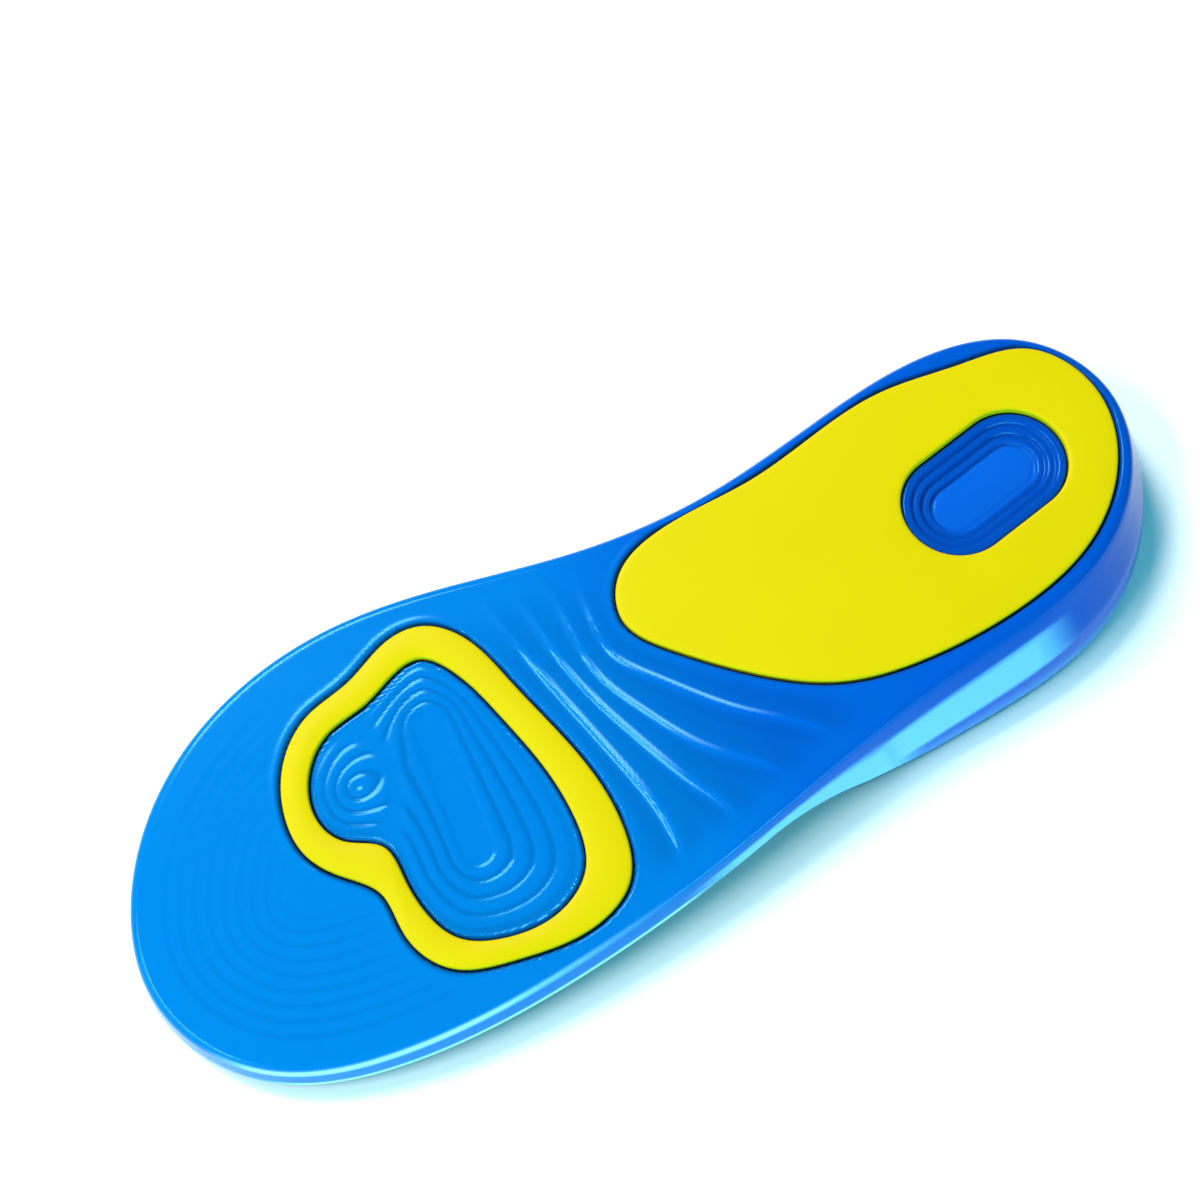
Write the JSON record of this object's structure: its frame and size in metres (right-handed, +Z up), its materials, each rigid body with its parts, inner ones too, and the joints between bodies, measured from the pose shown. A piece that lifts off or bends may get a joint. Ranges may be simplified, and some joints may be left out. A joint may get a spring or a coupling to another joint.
{
  "type": "cushioned insole",
  "caption": "Full-length gel shoe insole with a deep heel cup, firm arch and heel plate, forefoot ring and textile foot side, lying sole side up.",
  "frame": {"origin": "middle of the insole's plan on the floor it lies on, sole side up", "axes": "+X from heel to toe, +Y towards the little toe, +Z up, out of the sole face; turn it over about X to put it in a right shoe"},
  "size_m": [0.279, 0.1064, 0.0267],
  "materials": {
    "blue_gel": "glossy translucent blue gel",
    "deep_blue_gel": "glossy darker blue gel",
    "yellow_gel": "smooth satin opaque yellow gel",
    "cover_textile": "fine knitted dark blue textile"
  },
  "bodies": {
    "root": {"gel_body": "blue_gel", "heel_gel_pad": "deep_blue_gel", "arch_heel_plate": "yellow_gel", "forefoot_ring": "yellow_gel", "top_cover": "cover_textile"}
  },
  "joints": []
}
